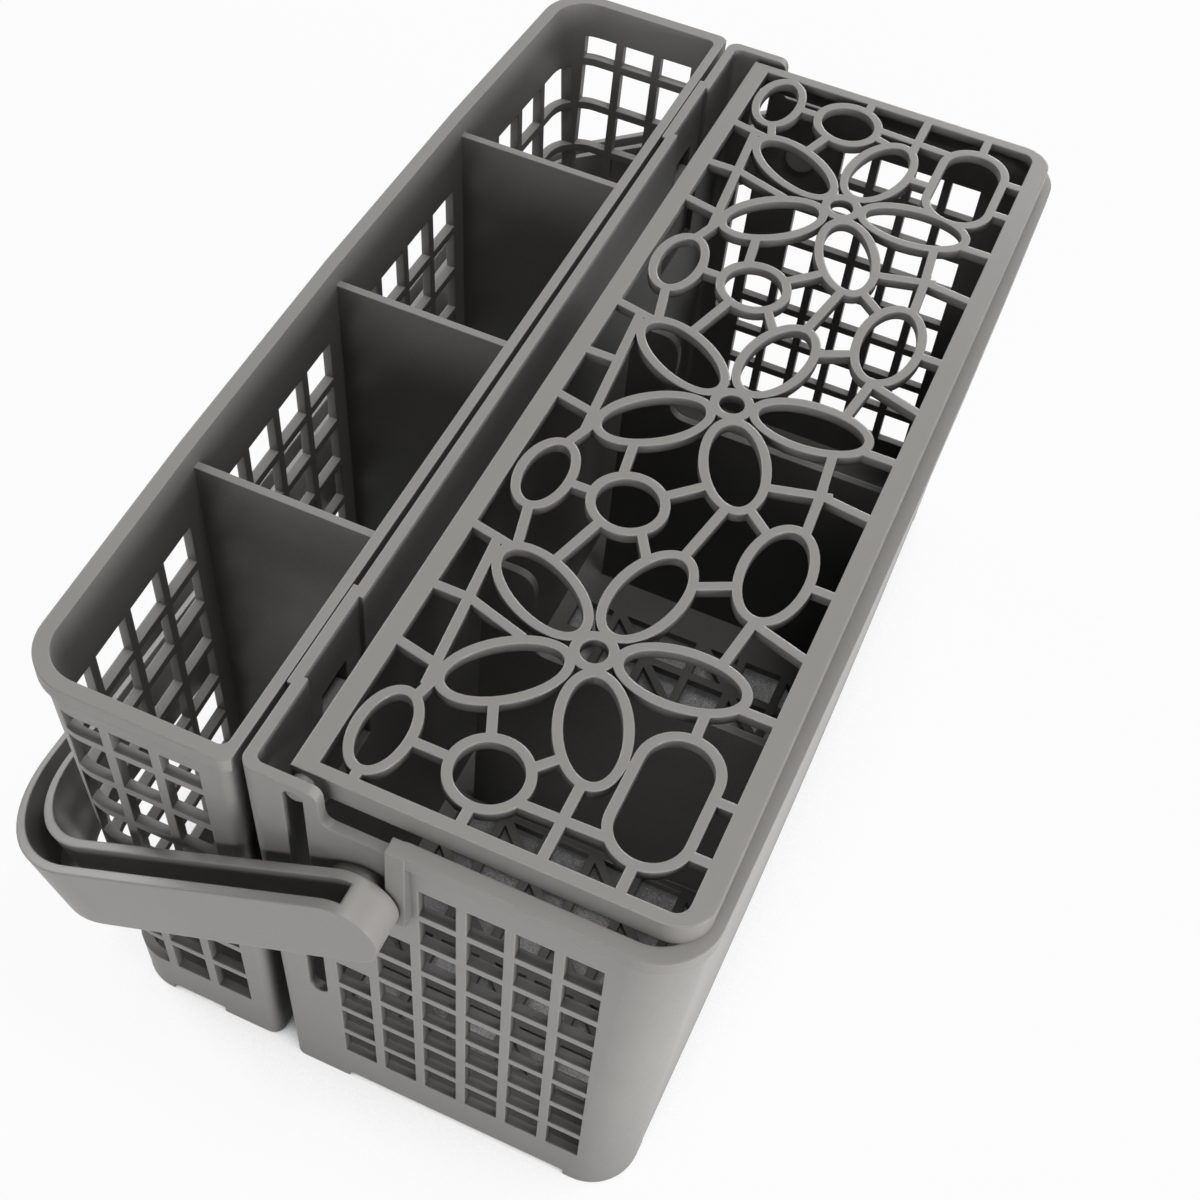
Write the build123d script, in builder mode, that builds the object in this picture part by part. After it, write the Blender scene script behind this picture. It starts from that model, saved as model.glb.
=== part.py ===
import os
from math import cos, radians, sin, sqrt

from build123d import *

# Overall sizes, in millimetres
HEIGHT = 122.0
LENGTH = 240.0
MAIN_WIDTH = 86.0
SIDE_WIDTH = 44.0
BASKET_GAP = 1.2
MAIN_BOW = 1.2
SIDE_BOW = 3.0

# Walls of both baskets; a draft is how far a wall leans in over the full height
WALL = 2.2
FLOOR = 2.4
FOOT = 2.0
PAD = 14.0
INNER_DRAFT = 1.7
OUTER_DRAFT = 5.4
MAIN_END_DRAFT = 4.3
SIDE_DRAFT = 4.0
SIDE_END_DRAFT = 5.6
BEAD = 0.8
BEAD_HEIGHT = 3.6
CORNER = 11.0
TIGHT_CORNER = 2.8

# Main basket: low rim under the lid, dipped where the handle is pinned, and dividers
RIM_DROP = 6.0
HIGH_RIM = 13.5
DIP = 3.4
DIP_LEFT = 18.0
DIP_RIGHT = 28.0
DIP_END = 32.0
RIB_LEFT = 29.1
RIB_WIDTH = 3.9
RIB_HEIGHT = 24.0
MAIN_BAYS = 3
DIVIDER = 1.8
DIVIDER_LOW = 72.0
DIVIDER_HIGH = 97.0
DIVIDER_STEP = 26.0
STEP_RUN = 9.0
CHANNEL = 9.8

# Side basket
BAYS = 4
SIDE_DIVIDER_DROP = 5.0

# Wall jogs of the main basket, with slots for the hooks of the side basket
JOG = 0.9
JOG_LENGTH = 25.0
JOG_DEPTH = 46.0
JOG_Y = 88.5
SLOT_HEIGHT = 9.0
HOOK_WIDTH = 9.0
HOOK_NECK = 2.4
HOOK_LIP = 4.5
HOOK_DROP = 22.0
HOOK_THICKNESS = 1.6
HOOK_PLAY = 0.2

# Window grids
BAR = 2.1
GRID_BOTTOM = 13.0
END_COLUMN = 9.5
END_ROW = 11.5
LONG_COLUMNS = 4
LONG_ROWS = 8
STAIR_ROWS = (6, 4)
END_MARGIN = 14.4
SIDE_END_COLUMN = 10.4
SIDE_END_COLUMNS = 3
SIDE_COLUMN = 12.7
SIDE_COLUMNS = 4
SIDE_ROW = 13.2
SIDE_ROWS = 7
SIDE_TOP_ROW = 8.4

# Floor mosaic: square holes alternate with squares split by a diagonal bar
MOSAIC = 12.0
MOSAIC_BAR = 2.2
MAIN_MOSAIC = (6, 5)
MAIN_MOSAIC_PITCH = 71.6
SIDE_MOSAIC = (2, 3)
SIDE_MOSAIC_PITCH = 56.0

# Lid and its pivot pins in the end walls of the main basket
LID_LENGTH = 231.4
LID_LEFT = 8.2
LID_REST = 1.0
LID_TOP_DROP = 0.5
LID_PLATE = 2.2
LID_SKIRT = 2.0
LID_BORDER = 4.2
LID_END_BORDER = 2.6
LID_CORNER = 7.0
LID_PIN = 2.0
LID_PIN_INSET = 2.5
LID_PIN_RISE = 2.1
PIN_PLAY = 0.06
TRACK_BOTTOM = 42.0

# Openwork of the lid: five-petal flowers in a row, with rings between them
FLOWERS = 3
HUB_X = 37.2
HUB_PITCH = 71.2
HUB_SHIFT = 1.5
HUB_HOLE = 2.7
PETALS = 5
PETAL_TURN = 5.0
PETAL_REACH = 17.0
PETAL_LONG = 11.2
PETAL_SHORT = 5.4
RING = 2.0
STRUT = 2.0
ROW_Y = (-102.0, -33.5, 37.5, 103.0)
OVAL_X = 10.9
OVAL_LONG = 8.2
OVAL_SHORT = 4.1
RING_X = (31.4, 28.6, 28.6, 28.6)
RING_HOLE = 6.4
TALL_X = 61.0
TALL_DROP = 3.5
TALL_LONG = 11.4
TALL_SHORT = 5.6
STADIUM_Y = 93.5
STADIUM_LONG = 26.0
STADIUM_SHORT = 13.0

# Struts, each from point to point, measured from a flower's hub
FLOWER_STRUTS = (
    ((-34, -13.5), (-24.5, -15.5)),
    ((-34, 1), (-26, 1)),
    ((-34, 18), (-24.5, 16)),
    ((-24.2, -20.5), (-27.5, 17)),
    ((27, 0), (37, 0)),
)
OUTER_FLOWER_STRUTS = (
    ((-26, 1), (-13, -3)),
)
ABOVE_STRUTS = (
    ((-23.5, 17), (-26, 28)),
    ((-15.7, 15.5), (-11.5, 30)),
    ((0, 25), (-3.5, 30.8)),
    ((5.8, 26), (9.5, 46)),
    ((9.5, 22), (19, 27)),
    ((22, 6), (24.2, 21)),
    ((24, 19.5), (37, 15.5)),
    ((28, 32.5), (37, 32.5)),
    ((-23, 36), (-15, 36)),
)
BELOW_STRUTS = (
    ((-14, -18), (-12.4, -28.8)),
    ((-23, -17.5), (-26, -26)),
    ((4, -23), (-3.1, -30.1)),
    ((14, -18.5), (24.8, -15.5)),
    ((24, -15.4), (37, -17)),
    ((23.5, -4), (24.9, -16.5)),
    ((24.8, -15.5), (25.5, -26.5)),
    ((13, -25), (19, -30)),
)
NEAR_END_STRUTS = (
    ((-12, -17.5), (-8.5, -26)),
    ((-23, -17.5), (-25, -25)),
    ((4.5, -23.5), (0, -28.5)),
    ((23.5, -4), (23.8, -10)),
    ((12, -20), (17, -20)),
    ((9.5, -26), (9.5, -44)),
    ((1, -35.5), (19.5, -35)),
    ((-5.8, -39), (-5.8, -44)),
    ((-26.3, -40), (-26.3, -44)),
    ((23.8, -37), (23.8, -44)),
    ((31, -20), (37, -20)),
    ((30.5, -32), (37, -32)),
    ((-22, -32.3), (-12, -32.3)),
)
FAR_END_STRUTS = (
    ((-23.5, 17), (-25.5, 23)),
    ((-14, 16), (-11, 25)),
    ((4, 27), (-2, 29)),
    ((8.6, 25), (8.6, 41)),
    ((10, 17.5), (17, 17.5)),
    ((-2, 32), (17, 31)),
    ((-5.8, 36.5), (-5.8, 41)),
    ((-26.3, 37.5), (-26.3, 41)),
    ((23.8, 33.5), (23.8, 41)),
    ((31, 27), (37, 27)),
    ((31, 15), (37, 15)),
    ((-22, 30.3), (-15, 30.3)),
)

# Handle: an open channel bent round the side basket, pinned to the end walls
PIVOT_X = 24.0
PIVOT_DROP = 24.8
HANDLE_TILT = 30.0
HANDLE_REACH = 87.8
HANDLE_DEPTH = 8.5
HANDLE_HEIGHT = 16.0
HANDLE_WALL = 2.0
HANDLE_WEB = 2.5
HANDLE_CORNER = 29.0
TIP_FLAT = 0.2
ARM_PLAY = 1.6
HANDLE_PIN = 4.0
HANDLE_PIN_LENGTH = 5.4
BOSS = 6.8
BOSS_PLAY = 0.4

# Places that follow from those sizes
tilt = radians(HANDLE_TILT)
handle_outer = HANDLE_REACH + HANDLE_DEPTH
handle_half = HANDLE_HEIGHT / 2
left_reach = handle_outer * cos(tilt) + handle_half * sin(tilt) - PIVOT_X
total_width = left_reach + MAIN_WIDTH + MAIN_BOW + BEAD
main_left = left_reach - total_width / 2
main_right = main_left + MAIN_WIDTH
side_right = main_left - BASKET_GAP
side_left = side_right - SIDE_WIDTH
half = LENGTH / 2
low_rim = HEIGHT - RIM_DROP
dip_rim = low_rim - DIP
floor_top = FOOT + FLOOR
body_depth = HEIGHT - FOOT
cavity_depth = HEIGHT - floor_top
lid_left = main_left + LID_LEFT
lid_right = main_right - LID_REST
lid_top = HEIGHT - LID_TOP_DROP
lid_width = lid_right - lid_left
lid_pin_x = lid_left + LID_PIN_INSET
lid_pin_z = low_rim + LID_PIN_RISE
hub_x = lid_left + HUB_X
hub_ys = [HUB_SHIFT + (i - (FLOWERS - 1) / 2) * HUB_PITCH for i in range(FLOWERS)]
handle_x = main_left + PIVOT_X
handle_z = HEIGHT - PIVOT_DROP
arm_y = half + ARM_PLAY
hook_z = HEIGHT - HOOK_DROP
end_plane = Plane.XZ.offset(arm_y)
wall_reach = ARM_PLAY + SIDE_END_DRAFT + 2 * WALL


# Plan of the main basket, drawn in by a margin and by a share of the drafts
def main_plan(margin, share):
    left = main_left + margin + share * INNER_DRAFT
    right = main_right - margin - share * OUTER_DRAFT
    end = half - margin - share * MAIN_END_DRAFT
    with BuildSketch() as plan:
        with BuildLine():
            sides = Polyline((right, end), (left, end), (left, -end), (right, -end))
            ThreePointArc(sides @ 1, (right + MAIN_BOW, 0), sides @ 0)
        make_face()
        fillet(plan.vertices().group_by(Axis.X)[0], TIGHT_CORNER - margin / 2)
        fillet(plan.vertices().group_by(Axis.X)[-1], CORNER - margin)
    return plan.sketch


# Plan of the side basket, its outer wall bowed in one flat per bay
def side_plan(margin, share):
    left = side_left + margin + share * SIDE_DRAFT
    right = side_right - margin - share * INNER_DRAFT
    end = half - margin - share * SIDE_END_DRAFT
    stations = [end - 2 * end * i / BAYS for i in range(BAYS + 1)]
    bowed = [(left - SIDE_BOW * (1 - (y / end) ** 2), y) for y in stations]
    with BuildSketch() as plan:
        with BuildLine():
            Polyline((right, end), *bowed, (right, -end), close=True)
        make_face()
        fillet(plan.vertices().group_by(Axis.X)[-1], TIGHT_CORNER - margin / 2)
        outer = plan.vertices().filter_by(lambda v: v.X < (side_left + side_right) / 2)
        fillet(outer.group_by(Axis.Y)[0] + outer.group_by(Axis.Y)[-1], CORNER - margin)
    return plan.sketch


# Block that hangs from the rim and narrows downwards by the drafts
def drafted(plan, margin, depth):
    with BuildPart() as block:
        with BuildSketch(Plane.XY.offset(HEIGHT)):
            add(plan(margin, 0))
        with BuildSketch(Plane.XY.offset(HEIGHT - depth)):
            add(plan(margin, depth / HEIGHT))
        loft(ruled=True)
    return block.part


# Cut through both end walls from one sketch on the near end plane
def through_ends(sketch):
    with BuildPart() as cutter:
        with BuildSketch(end_plane):
            add(sketch)
        extrude(amount=-wall_reach)
        mirror(about=Plane.XZ)
    return cutter.part


# Pads under the corners of a basket's floor
def foot_pads(floor_face):
    box = floor_face.bounding_box()
    with BuildSketch() as pads:
        with Locations((box.center().X, box.center().Y)):
            with GridLocations(box.size.X - PAD, box.size.Y - PAD, 2, 2):
                Rectangle(PAD, PAD)
    with BuildPart() as feet:
        with BuildSketch(Plane.XY.offset(FOOT)):
            add(floor_face.moved(Location((0, 0, -FOOT))))
            add(pads.sketch, mode=Mode.INTERSECT)
        extrude(amount=-FOOT)
    return feet.part


# Holes of one floor panel, squares and pairs of triangles in turn
def mosaic(columns, rows):
    opening = MOSAIC - MOSAIC_BAR
    leg = opening - MOSAIC_BAR / sqrt(2)
    with BuildSketch() as holes:
        for i in range(columns):
            for j in range(rows):
                place = ((i - (columns - 1) / 2) * MOSAIC, (j - (rows - 1) / 2) * MOSAIC)
                with Locations(place):
                    if (i + j) % 2 == 0:
                        Rectangle(opening, opening)
                    else:
                        for turn in (1, -1):
                            corner = turn * opening / 2
                            inner = corner - turn * leg
                            Polygon((corner, corner), (inner, corner), (corner, inner), align=None)
    return holes.sketch


# Windows in rows and columns with their lower left corner at a point
def windows(left, bottom, column, row, columns, rows):
    with BuildSketch() as grid:
        with Locations((left + column * columns / 2, bottom + row * rows / 2)):
            with GridLocations(column, row, columns, rows):
                Rectangle(column - BAR, row - BAR)
    return grid.sketch


# Main basket: dividers inside its cavity, stepped up beside the channel for the lid
main_cavity = drafted(main_plan, WALL, cavity_depth)
with BuildPart() as main_dividers:
    add(main_cavity)
    with BuildSketch(Plane.XZ):
        with BuildLine():
            rise = Spline(
                (main_left + DIVIDER_STEP - STEP_RUN, DIVIDER_HIGH),
                (main_left + DIVIDER_STEP, DIVIDER_LOW),
                tangents=((1, 0), (1, 0)),
            )
            Polyline(
                rise @ 1,
                (main_right + WALL, DIVIDER_LOW),
                (main_right + WALL, 0),
                (main_left + CHANNEL, 0),
                (main_left + CHANNEL, DIVIDER_HIGH),
                rise @ 0,
            )
        make_face()
    extrude(amount=half, both=True, mode=Mode.INTERSECT)
    with BuildSketch():
        with GridLocations(0, LENGTH / MAIN_BAYS, 1, MAIN_BAYS - 1):
            Rectangle(2 * total_width, DIVIDER)
    extrude(amount=HEIGHT, mode=Mode.INTERSECT)

# Main basket: cuts through its end walls
track = LID_PIN + PIN_PLAY
track_ends = ((lid_pin_x, lid_pin_z), (lid_pin_x, TRACK_BOTTOM))
with BuildSketch() as track_sketch:
    with BuildLine():
        Line(*track_ends)
    trace(line_width=2 * track)
    with Locations(*track_ends):
        Circle(track)
with BuildSketch() as pivot_sketch:
    with Locations((handle_x, handle_z)):
        Circle(HANDLE_PIN + PIN_PLAY)
long_left = main_right - END_MARGIN - LONG_COLUMNS * END_COLUMN
end_cuts = [windows(long_left, GRID_BOTTOM, END_COLUMN, END_ROW, LONG_COLUMNS, LONG_ROWS)]
for step, rows in enumerate(STAIR_ROWS, 1):
    end_cuts.append(windows(long_left - step * END_COLUMN, GRID_BOTTOM, END_COLUMN, END_ROW, 1, rows))

with BuildPart() as main_basket:
    add(drafted(main_plan, 0, body_depth))
    # Rim bead outside the outer wall and the windowed ends
    with BuildSketch(Plane.XY.offset(low_rim)):
        add(main_plan(-BEAD, 0))
        with Locations((main_left + RIB_LEFT, 0)):
            Rectangle(total_width, 2 * LENGTH, align=(Align.MIN, Align.CENTER), mode=Mode.INTERSECT)
    extrude(amount=-BEAD_HEIGHT)
    # Jogs of the inner wall that close the gap to the side basket
    with BuildSketch(Plane.YZ.offset(main_left - JOG)):
        with Locations((-JOG_Y, HEIGHT), (JOG_Y, HEIGHT)):
            Rectangle(JOG_LENGTH, JOG_DEPTH, align=(Align.CENTER, Align.MAX))
    extrude(amount=WALL)
    add(main_cavity, mode=Mode.SUBTRACT)
    with BuildSketch(Plane.YZ.offset(main_left - JOG + WALL)):
        with Locations((-JOG_Y, HEIGHT), (JOG_Y, HEIGHT)):
            Rectangle(JOG_LENGTH - 2 * WALL, JOG_DEPTH - WALL, align=(Align.CENTER, Align.MAX))
    extrude(amount=2 * WALL, mode=Mode.SUBTRACT)
    add(main_dividers.part)
    # Step of the end rims down to the dip, and up to the level that carries the lid
    with BuildSketch(Plane.XZ):
        with BuildLine():
            fall = Spline(
                (main_left + HIGH_RIM, HEIGHT),
                (main_left + DIP_LEFT, dip_rim),
                tangents=((1, 0), (1, 0)),
            )
            rise = Spline(
                (main_left + DIP_RIGHT, dip_rim),
                (main_left + DIP_END, low_rim),
                tangents=((1, 0), (1, 0)),
            )
            Line(fall @ 1, rise @ 0)
            Polyline(
                rise @ 1,
                (main_right + CORNER, low_rim),
                (main_right + CORNER, HEIGHT + FOOT),
                (main_left + HIGH_RIM, HEIGHT + FOOT),
                fall @ 0,
            )
        make_face()
    extrude(amount=LENGTH, both=True, mode=Mode.SUBTRACT)
    # Bosses that carry the handle, and ribs beside them
    with BuildSketch(Plane.XZ.offset(arm_y - BOSS_PLAY)):
        with Locations((handle_x, handle_z)):
            Circle(BOSS)
        with Locations((main_left + RIB_LEFT, low_rim)):
            Rectangle(RIB_WIDTH, RIB_HEIGHT, align=(Align.MIN, Align.MAX))
    bosses = extrude(amount=-(ARM_PLAY - BOSS_PLAY + WALL))
    mirror(bosses, about=Plane.XZ)
    for cut in (pivot_sketch.sketch, track_sketch.sketch, *end_cuts):
        add(through_ends(cut), mode=Mode.SUBTRACT)
    # Slots for the hooks of the side basket
    with BuildSketch(Plane.YZ.offset(main_left - WALL)):
        with Locations((-JOG_Y, hook_z), (JOG_Y, hook_z)):
            Rectangle(HOOK_WIDTH + 2 * HOOK_PLAY, SLOT_HEIGHT, align=(Align.CENTER, Align.MIN))
    extrude(amount=3 * WALL, mode=Mode.SUBTRACT)
    # Floor and feet
    add(foot_pads(main_basket.faces().sort_by(Axis.Z)[0]))
    with BuildSketch():
        with Locations(((main_left + main_right) / 2, 0)):
            with GridLocations(0, MAIN_MOSAIC_PITCH, 1, MAIN_BAYS):
                add(mosaic(*MAIN_MOSAIC))
    extrude(amount=floor_top, mode=Mode.SUBTRACT)

# Side basket: dividers inside its cavity
side_cavity = drafted(side_plan, WALL, cavity_depth)
bay = LENGTH / BAYS
with BuildPart() as side_dividers:
    add(side_cavity)
    with BuildSketch():
        with GridLocations(0, bay, 1, BAYS - 1):
            Rectangle(4 * total_width, DIVIDER)
    extrude(amount=HEIGHT - SIDE_DIVIDER_DROP, mode=Mode.INTERSECT)

side_end_left = (side_left + side_right - SIDE_END_COLUMNS * SIDE_END_COLUMN) / 2
side_end_windows = windows(
    side_end_left, GRID_BOTTOM, SIDE_END_COLUMN, SIDE_ROW, SIDE_END_COLUMNS, SIDE_ROWS
)
side_top_windows = windows(
    side_end_left, GRID_BOTTOM + SIDE_ROWS * SIDE_ROW, SIDE_END_COLUMN, SIDE_TOP_ROW, SIDE_END_COLUMNS, 1
)
bay_windows = windows(
    -SIDE_COLUMNS * SIDE_COLUMN / 2, GRID_BOTTOM, SIDE_COLUMN, SIDE_ROW, SIDE_COLUMNS, SIDE_ROWS
)

with BuildPart() as side_basket:
    add(drafted(side_plan, 0, body_depth))
    # Rim bead, clear of the main basket
    with BuildSketch(Plane.XY.offset(HEIGHT)):
        add(side_plan(-BEAD, 0))
        with Locations((side_right, 0)):
            Rectangle(total_width, 2 * LENGTH, align=(Align.MAX, Align.CENTER), mode=Mode.INTERSECT)
    extrude(amount=-BEAD_HEIGHT)
    add(side_cavity, mode=Mode.SUBTRACT)
    add(side_dividers.part)
    for cut in (side_end_windows, side_top_windows):
        add(through_ends(cut), mode=Mode.SUBTRACT)
    with BuildSketch(Plane.YZ.offset(side_left - SIDE_BOW - BEAD)):
        with GridLocations(bay, 0, BAYS, 1):
            add(bay_windows)
    extrude(amount=SIDE_BOW + BEAD + SIDE_DRAFT + 2 * WALL, mode=Mode.SUBTRACT)
    # Hooks that drop behind the inner wall of the main basket
    neck_start = side_right - WALL - INNER_DRAFT * HOOK_DROP / HEIGHT
    lip_start = main_left - JOG + WALL + HOOK_PLAY
    lip_end = lip_start + HOOK_THICKNESS
    with BuildSketch(Plane.XZ) as hook_side:
        with BuildLine():
            Polyline(
                (neck_start, hook_z),
                (neck_start, hook_z + HOOK_NECK),
                (lip_end, hook_z + HOOK_NECK),
                (lip_end, hook_z - HOOK_LIP),
                (lip_start, hook_z - HOOK_LIP),
                (lip_start, hook_z),
                close=True,
            )
        make_face()
    with Locations((0, JOG_Y, 0), (0, -JOG_Y, 0)):
        add(extrude(hook_side.sketch, amount=HOOK_WIDTH / 2, both=True, mode=Mode.PRIVATE))
    # Floor and feet
    add(foot_pads(side_basket.faces().sort_by(Axis.Z)[0]))
    with BuildSketch():
        with Locations(((side_left + side_right - SIDE_BOW / 2) / 2, 0)):
            with GridLocations(0, SIDE_MOSAIC_PITCH, 1, BAYS):
                add(mosaic(*SIDE_MOSAIC))
    extrude(amount=floor_top, mode=Mode.SUBTRACT)


# Rings of the openwork, grown by a margin round their holes
def ring_shapes(margin):
    with BuildSketch() as shapes:
        for hub_y in hub_ys:
            with Locations((hub_x, hub_y)):
                with PolarLocations(PETAL_REACH, PETALS, start_angle=PETAL_TURN):
                    Ellipse(PETAL_LONG + margin, PETAL_SHORT + margin)
                Circle(HUB_HOLE + margin)
        for row_y, ring_x in zip(ROW_Y, RING_X):
            with Locations((lid_left + OVAL_X, row_y)):
                Ellipse(OVAL_SHORT + margin, OVAL_LONG + margin)
            with Locations((lid_left + ring_x, row_y)):
                Circle(RING_HOLE + margin)
        for row_y in ROW_Y[1:-1]:
            with Locations((lid_left + TALL_X, row_y - TALL_DROP)):
                Ellipse(TALL_SHORT + margin, TALL_LONG + margin)
        with Locations((lid_left + TALL_X, -STADIUM_Y), (lid_left + TALL_X, STADIUM_Y)):
            SlotOverall(STADIUM_LONG + 2 * margin, STADIUM_SHORT + 2 * margin, rotation=90)
    return shapes.sketch


# Struts round one flower, by its place in the row
def flower_struts(flower):
    struts = FLOWER_STRUTS
    struts += () if 0 < flower < FLOWERS - 1 else OUTER_FLOWER_STRUTS
    struts += NEAR_END_STRUTS if flower == 0 else BELOW_STRUTS
    struts += FAR_END_STRUTS if flower == FLOWERS - 1 else ABOVE_STRUTS
    return struts


# Outline of the lid, drawn in by margins at its long sides and its ends
def lid_plan(margin, end_margin):
    with BuildSketch() as plan:
        with Locations(((lid_left + lid_right) / 2, 0)):
            Rectangle(lid_width - 2 * margin, LID_LENGTH - 2 * end_margin)
        fillet(plan.vertices().group_by(Axis.X)[-1], LID_CORNER - margin)
    return plan.sketch


with BuildPart() as lid:
    with BuildSketch(Plane.XY.offset(lid_top)):
        add(lid_plan(0, 0))
        add(lid_plan(LID_BORDER, LID_END_BORDER), mode=Mode.SUBTRACT)
        add(ring_shapes(RING))
        for flower, hub_y in enumerate(hub_ys):
            hub = Vector(hub_x, hub_y)
            with BuildLine() as lines:
                for start, end in flower_struts(flower):
                    Line(hub + start, hub + end)
            trace(lines.line, line_width=STRUT)
        add(ring_shapes(0), mode=Mode.SUBTRACT)
    extrude(amount=-LID_PLATE)
    with BuildSketch(Plane.XY.offset(low_rim)):
        add(lid_plan(0, 0))
        add(lid_plan(LID_SKIRT, LID_SKIRT), mode=Mode.SUBTRACT)
    extrude(amount=lid_top - low_rim - LID_PLATE)
    with BuildSketch(Plane.XZ.offset(half - WALL / 2)):
        with Locations((lid_pin_x, lid_pin_z)):
            Circle(LID_PIN)
    pins = extrude(amount=-(half - WALL / 2 - LID_LENGTH / 2 + LID_SKIRT / 2))
    mirror(pins, about=Plane.XZ)

# Handle, drawn in its folded place
handle_plane = Plane(
    origin=(handle_x, 0, handle_z),
    x_dir=(cos(tilt), 0, sin(tilt)),
    z_dir=(-sin(tilt), 0, cos(tilt)),
)


# Band of the handle in plan, drawn in from both its faces by a margin
def handle_band(margin):
    arm_out = arm_y + HANDLE_DEPTH - margin
    arm_in = arm_y + margin
    with BuildSketch() as outer:
        with Locations((-handle_outer + margin, 0)):
            Rectangle(handle_outer + handle_half - 3 * margin, 2 * arm_out, align=(Align.MIN, Align.CENTER))
        fillet(outer.vertices().group_by(Axis.X)[0], HANDLE_CORNER - margin)
    with BuildSketch() as inner:
        with Locations((-HANDLE_REACH - margin, 0)):
            Rectangle(2 * handle_outer, 2 * arm_in, align=(Align.MIN, Align.CENTER))
        fillet(inner.vertices().group_by(Axis.X)[0], HANDLE_CORNER - HANDLE_DEPTH + margin)
    return outer.sketch - inner.sketch


with BuildPart() as handle:
    with BuildSketch(handle_plane):
        add(handle_band(0))
    extrude(amount=handle_half, both=True)
    tips = handle.faces().sort_by(Axis((0, 0, 0), handle_plane.x_dir))[-2:]
    fillet(tips.edges().filter_by(Axis.Y), handle_half - TIP_FLAT / 2)
    with BuildSketch(handle_plane.offset(HANDLE_WEB - handle_half)):
        add(handle_band(HANDLE_WALL))
    extrude(amount=HANDLE_HEIGHT, mode=Mode.SUBTRACT)
    with BuildSketch(Plane.XZ.offset(arm_y + HANDLE_WALL / 2)):
        with Locations((handle_x, handle_z)):
            Circle(HANDLE_PIN)
    pins = extrude(amount=-(HANDLE_PIN_LENGTH + HANDLE_WALL / 2))
    mirror(pins, about=Plane.XZ)

os.makedirs("parts", exist_ok=True)
for name, piece in (
    ("main_basket", main_basket),
    ("side_basket", side_basket),
    ("lid", lid),
    ("handle", handle),
):
    piece.part.label = name
    export_step(piece.part, f"parts/{name}.step")
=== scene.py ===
# %% [markdown]
# # A cutlery basket in satin grey plastic
# The shapes come from CAD, so this lesson is about finish, light and camera.
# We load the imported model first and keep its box, so that we can show at the end
# that nothing we did in Blender changed the size of the part.

# %% Load the model
import math
import bpy
from mathutils import Matrix, Vector


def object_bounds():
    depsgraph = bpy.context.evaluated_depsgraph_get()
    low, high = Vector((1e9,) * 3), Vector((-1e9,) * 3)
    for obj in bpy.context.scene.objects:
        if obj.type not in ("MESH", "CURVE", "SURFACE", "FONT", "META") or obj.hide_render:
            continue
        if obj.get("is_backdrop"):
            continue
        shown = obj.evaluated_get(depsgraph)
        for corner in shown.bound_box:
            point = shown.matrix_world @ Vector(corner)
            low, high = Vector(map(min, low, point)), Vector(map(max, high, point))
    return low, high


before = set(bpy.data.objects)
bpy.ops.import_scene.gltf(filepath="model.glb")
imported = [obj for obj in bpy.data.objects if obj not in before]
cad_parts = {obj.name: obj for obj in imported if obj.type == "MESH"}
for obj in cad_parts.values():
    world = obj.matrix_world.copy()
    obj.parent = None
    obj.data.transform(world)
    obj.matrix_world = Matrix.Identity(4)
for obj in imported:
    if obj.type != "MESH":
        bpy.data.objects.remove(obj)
cad_low, cad_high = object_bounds()
print("nodes:", sorted(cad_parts))
print("box in mm:", [round(1000 * s, 1) for s in cad_high - cad_low])

# %% [markdown]
# ## One node group for the moulded finish
# All four pieces are injection moulded from the same grey polypropylene. Such a surface
# has a fine matt grain from the mould, a faint cloudiness from the flow of the melt, and
# paler edges, partly rubbed wear and partly a painted highlight on the rounding. Deep
# inside the baskets the colour is darkened as painted shade, because plastic there sees
# little but more plastic. A node group holds these four effects once, and each material only sets
# their strength.

# %% Small helpers for building node trees
def node(tree, kind, label="", **values):
    made = tree.nodes.new(kind)
    made.label = label
    for key, value in values.items():
        if key in made.inputs:
            made.inputs[key].default_value = value
        else:
            setattr(made, key, value)
    return made


def chain(tree, *pairs):
    for start, end in pairs:
        tree.links.new(start, end)


def span(tree, label, source, target, **values):
    made = node(tree, "ShaderNodeMapRange", label, **values)
    for key, value in zip(("From Min", "From Max", "To Min", "To Max"), (*source, *target)):
        made.inputs[key].default_value = value
    return made
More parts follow.
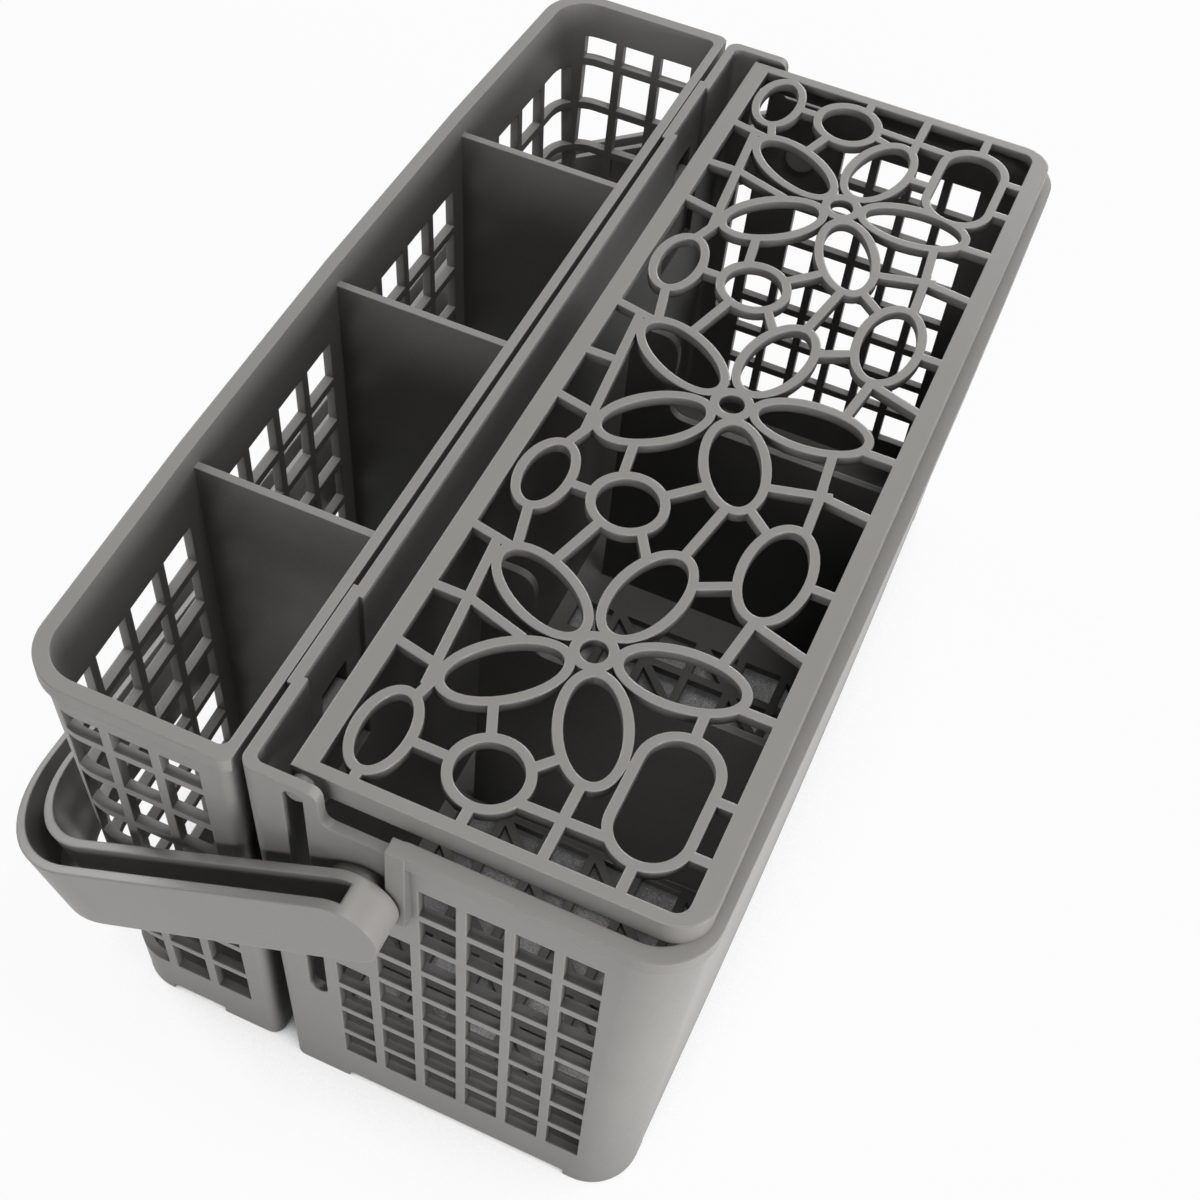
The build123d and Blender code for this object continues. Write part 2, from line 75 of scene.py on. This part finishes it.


# %% The group: tone, pale edges, painted shade, roughness and grain height
def moulded_group():
    group = bpy.data.node_groups.new("moulded_plastic", "ShaderNodeTree")
    for name, default in (
        ("Grain Size", 0.0005),
        ("Cloud", 0.1),
        ("Edge", 0.3),
        ("Base Roughness", 0.45),
        ("Painted Shade Level", 0.2),
    ):
        socket = group.interface.new_socket(name, in_out="INPUT", socket_type="NodeSocketFloat")
        socket.default_value = default
    for name in ("Body Color", "Edge Wear And Highlight Color"):
        group.interface.new_socket(name, in_out="INPUT", socket_type="NodeSocketColor")
    group.interface.new_socket("Color", in_out="OUTPUT", socket_type="NodeSocketColor")
    group.interface.new_socket("Roughness", in_out="OUTPUT", socket_type="NodeSocketFloat")
    group.interface.new_socket("Height", in_out="OUTPUT", socket_type="NodeSocketFloat")
    into = group.nodes.new("NodeGroupInput")
    out = group.nodes.new("NodeGroupOutput")
    where = node(group, "ShaderNodeTexCoord")
    # Cloudy flow of the melt, a few centimetres across
    cloud = node(group, "ShaderNodeTexNoise", "flow", Scale=38.0, Detail=3.0, Roughness=0.55)
    cloud_gain = node(group, "ShaderNodeMath", "cloud", operation="MULTIPLY_ADD")
    cloud_gain.inputs[2].default_value = 1.0
    centred = node(group, "ShaderNodeMath", "about zero", operation="SUBTRACT")
    centred.inputs[1].default_value = 0.5
    toned = node(group, "ShaderNodeVectorMath", "toned", operation="SCALE")
    # Grain of the mould, about half a millimetre across
    size = node(group, "ShaderNodeMath", "cells per metre", operation="DIVIDE")
    size.inputs[0].default_value = 1.0
    grain = node(group, "ShaderNodeTexNoise", "grain", Detail=2.0, Roughness=0.6)
    # Where a rounded normal leaves the flat one, the surface is an edge
    rounded = node(group, "ShaderNodeBevel", "rounded edge", samples=4, Radius=0.0006)
    flat = node(group, "ShaderNodeNewGeometry")
    turn = node(group, "ShaderNodeVectorMath", "turn", operation="DOT_PRODUCT")
    edge = span(group, "edge", (0.995, 0.75), (0.0, 1.0))
    edge_gain = node(group, "ShaderNodeMath", "edge strength", operation="MULTIPLY")
    # Edges take the pale colour, partly as rubbed wear and partly as a painted highlight
    mixed = node(group, "ShaderNodeMix", "edge colour", data_type="RGBA")
    # Painted shade: deep inside the baskets, where the plastic sees little but itself, the colour is
    # darkened
    painted_shade_ao = node(group, "ShaderNodeAmbientOcclusion", "painted_shade_ao", samples=6, Distance=0.10)
    painted_shade_factor = span(group, "painted_shade_factor", (0.15, 0.85), (0.0, 1.0), interpolation_type="SMOOTHSTEP")
    with_painted_shade = node(group, "ShaderNodeVectorMath", "with_painted_shade", operation="SCALE")
    # Roughness wanders a little with the grain and drops on rubbed edges
    wander = node(group, "ShaderNodeMath", "wander", operation="MULTIPLY_ADD")
    wander.inputs[1].default_value = 0.16
    rubbed = node(group, "ShaderNodeMath", "rubbed", operation="MULTIPLY_ADD")
    rubbed.inputs[1].default_value = -0.12
    grain_centred = node(group, "ShaderNodeMath", "about zero", operation="SUBTRACT")
    grain_centred.inputs[1].default_value = 0.5
    chain(
        group,
        (where.outputs["Object"], cloud.inputs["Vector"]),
        (cloud.outputs["Fac"], centred.inputs[0]),
        (centred.outputs[0], cloud_gain.inputs[0]),
        (into.outputs["Cloud"], cloud_gain.inputs[1]),
        (into.outputs["Body Color"], toned.inputs[0]),
        (cloud_gain.outputs[0], toned.inputs["Scale"]),
        (into.outputs["Grain Size"], size.inputs[1]),
        (where.outputs["Object"], grain.inputs["Vector"]),
        (size.outputs[0], grain.inputs["Scale"]),
        (rounded.outputs["Normal"], turn.inputs[0]),
        (flat.outputs["Normal"], turn.inputs[1]),
        (turn.outputs["Value"], edge.inputs["Value"]),
        (edge.outputs["Result"], edge_gain.inputs[0]),
        (into.outputs["Edge"], edge_gain.inputs[1]),
        (edge_gain.outputs[0], mixed.inputs["Factor"]),
        (toned.outputs["Vector"], mixed.inputs[6]),
        (into.outputs["Edge Wear And Highlight Color"], mixed.inputs[7]),
        (grain.outputs["Fac"], grain_centred.inputs[0]),
        (grain_centred.outputs[0], wander.inputs[0]),
        (into.outputs["Base Roughness"], wander.inputs[2]),
        (edge_gain.outputs[0], rubbed.inputs[0]),
        (wander.outputs[0], rubbed.inputs[2]),
        (painted_shade_ao.outputs["AO"], painted_shade_factor.inputs["Value"]),
        (into.outputs["Painted Shade Level"], painted_shade_factor.inputs["To Min"]),
        (mixed.outputs[2], with_painted_shade.inputs[0]),
        (painted_shade_factor.outputs["Result"], with_painted_shade.inputs["Scale"]),
        (with_painted_shade.outputs["Vector"], out.inputs["Color"]),
        (rubbed.outputs[0], out.inputs["Roughness"]),
        (grain.outputs["Fac"], out.inputs["Height"]),
    )
    print("group", group.name, "has", len(group.nodes), "nodes")
    return group


moulded = moulded_group()

# %% [markdown]
# ## One material per piece
# The pieces share a colour, but not quite a finish: the lid and the handle are touched
# most and shine a little more, while the baskets keep the mould's grain. Real moulded
# edges are never sharp, so the Bevel node also bends the shading normal over about half a
# millimetre. That gives every bar and rim a soft highlight without extra mesh. A painted
# shade level of 1 leaves a piece as light inside as out, which suits the shallow channel of the
# handle.

# %% Make the materials
BODY = (0.262, 0.253, 0.240, 1.0)
# Pale edge colour: partly rubbed wear, partly a painted highlight on the rounded edges.
EDGE_WEAR_AND_HIGHLIGHT = (0.470, 0.460, 0.440, 1.0)


def plastic(name, grain_size, cloud, edge, roughness, painted_shade, bump, radius):
    material = bpy.data.materials.new(name)
    material.use_nodes = True
    tree = material.node_tree
    shader = tree.nodes["Principled BSDF"]
    shader.inputs["IOR"].default_value = 1.49
    effects = node(tree, "ShaderNodeGroup", "moulded finish", node_tree=moulded)
    for key, value in (
        ("Grain Size", grain_size),
        ("Cloud", cloud),
        ("Edge", edge),
        ("Base Roughness", roughness),
        ("Painted Shade Level", painted_shade),
    ):
        effects.inputs[key].default_value = value
    effects.inputs["Body Color"].default_value = BODY
    effects.inputs["Edge Wear And Highlight Color"].default_value = EDGE_WEAR_AND_HIGHLIGHT
    soft_edge = node(tree, "ShaderNodeBevel", "moulded edge", samples=4, Radius=radius)
    grain = node(tree, "ShaderNodeBump", "grain", Strength=bump, Distance=0.00004)
    chain(
        tree,
        (effects.outputs["Color"], shader.inputs["Base Color"]),
        (effects.outputs["Roughness"], shader.inputs["Roughness"]),
        (effects.outputs["Height"], grain.inputs["Height"]),
        (soft_edge.outputs["Normal"], grain.inputs["Normal"]),
        (grain.outputs["Normal"], shader.inputs["Normal"]),
    )
    print("material", name)
    return material


GRAINED = dict(grain_size=0.0006, cloud=0.16, edge=0.35, bump=0.5, radius=0.0005)
TOUCHED = dict(grain_size=0.0007, cloud=0.12, bump=0.35)
# Each piece sets how dark its painted shade gets deep inside; at 1 none is painted.
FINISHES = {
    "main_basket": plastic("main_basket_plastic", roughness=0.46, painted_shade=0.26, **GRAINED),
    "side_basket": plastic("side_basket_plastic", roughness=0.48, painted_shade=0.36, **GRAINED),
    "lid": plastic("lid_plastic", edge=0.55, roughness=0.38, painted_shade=0.30, radius=0.0006, **TOUCHED),
    "handle": plastic("handle_plastic", edge=0.40, roughness=0.42, painted_shade=1.0, radius=0.0007, **TOUCHED),
}

# %% Put them on the CAD nodes
for name, material in FINISHES.items():
    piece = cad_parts[name]
    piece.data.materials.clear()
    piece.data.materials.append(material)
    print(name, "has", len(piece.data.polygons), "faces and", material.name)

# %% [markdown]
# ## Floor and backdrop
# A product on white needs a floor that reads as paper. Lamps bright enough to make paper
# white would bleach the plastic, so most of the white is a soft glow that only the camera
# and reflections see. Where the paper is covered, under the basket, the glow fades into
# painted shade, and the rest of the floor is ordinary paper that keeps the shadows. An
# Ambient Occlusion node finds the covered places, and it gives the same answer from every viewpoint.

# %% A mask for rays that should meet the white studio
def studio_sight(tree):
    sight = node(tree, "ShaderNodeLightPath")
    mirrored = node(tree, "ShaderNodeMath", "reflections", operation="MAXIMUM")
    seen = node(tree, "ShaderNodeMath", "camera and reflections", operation="MAXIMUM")
    chain(
        tree,
        (sight.outputs["Is Glossy Ray"], mirrored.inputs[0]),
        (sight.outputs["Is Transmission Ray"], mirrored.inputs[1]),
        (sight.outputs["Is Camera Ray"], seen.inputs[0]),
        (mirrored.outputs[0], seen.inputs[1]),
    )
    return seen.outputs[0]


# %% Make the paper
WHITE = (1.0, 1.0, 1.0, 1.0)
PAPER = (0.60, 0.60, 0.60, 1.0)
GLOW_SHARE = 0.94


def paper_material():
    paper = bpy.data.materials.new("paper")
    paper.use_nodes = True
    tree = paper.node_tree
    shader = tree.nodes["Principled BSDF"]
    shader.inputs["Base Color"].default_value = PAPER
    shader.inputs["Roughness"].default_value = 0.8
    cover = node(tree, "ShaderNodeAmbientOcclusion", "cover", samples=8, Distance=0.25)
    # Painted shade: the white glow dims under the basket, where the paper is covered
    painted_shade_glow = span(tree, "glow dimmed by painted shade", (0.10, 0.50), (0.03, 1.0), interpolation_type="SMOOTHSTEP")
    glow = node(tree, "ShaderNodeEmission", "white paper", Color=WHITE)
    share = node(tree, "ShaderNodeMath", "glow share", operation="MULTIPLY")
    share.inputs[1].default_value = GLOW_SHARE
    mix = node(tree, "ShaderNodeMixShader")
    chain(
        tree,
        (cover.outputs["AO"], painted_shade_glow.inputs["Value"]),
        (painted_shade_glow.outputs["Result"], glow.inputs["Strength"]),
        (studio_sight(tree), share.inputs[0]),
        (share.outputs[0], mix.inputs[0]),
        (shader.outputs[0], mix.inputs[1]),
        (glow.outputs[0], mix.inputs[2]),
        (mix.outputs[0], tree.nodes["Material Output"].inputs["Surface"]),
    )
    return paper


# %% Make the floor, a hair below the feet
FLOOR_SIZE = 6.0
FLOOR_DROP = 0.0005
bpy.ops.mesh.primitive_plane_add(size=FLOOR_SIZE, location=(0, 0, -FLOOR_DROP))
floor = bpy.context.active_object
floor.name = "floor"
floor.data.materials.append(paper_material())
floor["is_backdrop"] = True
print("floor at", round(floor.location.z * 1000, 2), "mm")

# %% [markdown]
# ## Soft light
# A lamp straight above lights what faces up, the lid and the rims, but only grazes the
# upright walls, so the deep compartments stay dark. Two low lamps light the near ends and
# the outer wall from the front and the right. They shine little over the rims. Two wide
# ones on the left and behind light the sides that the camera doesn't see. The level is
# plain: a colour on a lit face renders about as it is written.

# %% Make the lamps
def lamp(name, place, aim, size, watts):
    data = bpy.data.lights.new(name, "AREA")
    data.shape = "DISK"
    data.size = size
    data.energy = watts
    made = bpy.data.objects.new(name, data)
    bpy.context.scene.collection.objects.link(made)
    made.location = place
    made.rotation_euler = (Vector(aim) - Vector(place)).to_track_quat("-Z", "Y").to_euler()
    print("lamp", name, watts, "W")


middle = (cad_low + cad_high) / 2
lamp("overhead", (0.25, -0.05, 1.15), middle, 0.25, 7.0)
lamp("front", (-0.15, -1.30, 0.34), middle, 0.50, 5.4)
lamp("right", (1.25, -0.35, 0.20), middle, 0.40, 13.0)
lamp("left", (-1.20, 0.45, 0.45), middle, 0.60, 7.0)
lamp("rear", (0.15, 1.30, 0.35), middle, 0.60, 7.0)

# %% Make the surroundings
world = bpy.data.worlds.new("studio")
bpy.context.scene.world = world
world.use_nodes = True
tree = world.node_tree
around = tree.nodes["Background"]
around.inputs["Color"].default_value = WHITE
around.inputs["Strength"].default_value = 0.03
bright = node(tree, "ShaderNodeBackground", "white backdrop", Color=WHITE, Strength=1.0)
mix = node(tree, "ShaderNodeMixShader")
chain(
    tree,
    (studio_sight(tree), mix.inputs[0]),
    (around.outputs[0], mix.inputs[1]),
    (bright.outputs[0], mix.inputs[2]),
    (mix.outputs[0], tree.nodes["World Output"].inputs["Surface"]),
)
print("world", world.name, "has", len(tree.nodes), "nodes")

# %% [markdown]
# ## Camera
# The picture was taken from above the near end, turned a little to the right and rolled.
# Its angle, distance and focal length were found by matching corners of the part with
# their places in the picture, taken as 1200 pixels square.

# %% Make the camera
AZIMUTH, ELEVATION, ROLL = (math.radians(a) for a in (19.389, 51.029, 6.003))
PLACE = Vector((0.09399, -0.25903, 0.38635))
FOCAL, CENTRE_X, CENTRE_Y, FRAME = 1806.9, 571.8, 583.1, 1200.0
right = Vector((math.cos(AZIMUTH), math.sin(AZIMUTH), 0.0))
level_back = Vector((math.sin(AZIMUTH), -math.cos(AZIMUTH), 0.0))
back = math.cos(ELEVATION) * level_back + math.sin(ELEVATION) * Vector((0.0, 0.0, 1.0))
up = back.cross(right)
rolled_right = math.cos(ROLL) * right + math.sin(ROLL) * up
rolled_up = math.cos(ROLL) * up - math.sin(ROLL) * right
data = bpy.data.cameras.new("camera")
data.sensor_width = 36.0
data.lens = FOCAL / FRAME * data.sensor_width
data.shift_x = (FRAME / 2 - CENTRE_X) / FRAME
data.shift_y = (CENTRE_Y - FRAME / 2) / FRAME
data.clip_start, data.clip_end = 0.01, 20.0
camera = bpy.data.objects.new("camera", data)
bpy.context.scene.collection.objects.link(camera)
turned = Matrix((rolled_right, rolled_up, back)).transposed().to_4x4()
camera.matrix_world = Matrix.Translation(PLACE) @ turned
bpy.context.scene.camera = camera
bpy.context.scene.view_settings.view_transform = "Standard"
print("lens", round(data.lens, 2), "mm, shift", round(data.shift_x, 4), round(data.shift_y, 4))

# %% [markdown]
# The script prints the largest change between the two boxes. They should agree, because
# the finish is all in the materials and no vertex of the CAD part was moved.

# %% Compare the boxes and finish
seen_low, seen_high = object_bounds()
change = max((seen_low - cad_low).length, (seen_high - cad_high).length)
print("largest change in mm:", round(1000 * change, 3))
